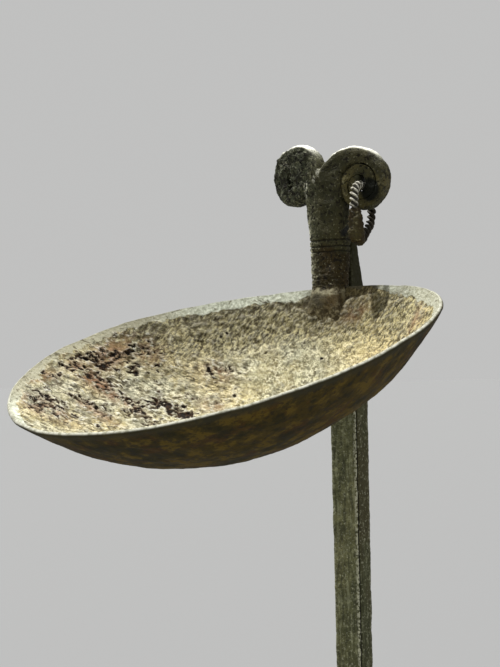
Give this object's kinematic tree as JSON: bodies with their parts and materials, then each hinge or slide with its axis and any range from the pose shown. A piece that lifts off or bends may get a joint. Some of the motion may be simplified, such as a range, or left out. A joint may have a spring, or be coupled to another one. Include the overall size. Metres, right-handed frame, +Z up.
{
  "type": "iron oil lamp",
  "caption": "Hand-forged iron oil lamp: a shallow drooping bowl with a split scrolled neck and a hanging twisted ring, on a tapering stake.",
  "frame": {"origin": "middle of the stake's flat foot, where it meets the ground", "axes": "+Z up along the stake; the bowl reaches out toward -Y; X runs across the bowl, with the ring on the +X scroll"},
  "size_m": [0.131, 0.134, 0.3784],
  "materials": {
    "crusted_iron": "matt, mineral crust inside the bowl",
    "dark_forged_iron": "dark patina",
    "twisted_iron_wire": "patinated, rubbed on the strands"
  },
  "bodies": {
    "root": {"bowl": "crusted_iron", "stake": "dark_forged_iron", "ring": "twisted_iron_wire"}
  },
  "joints": []
}
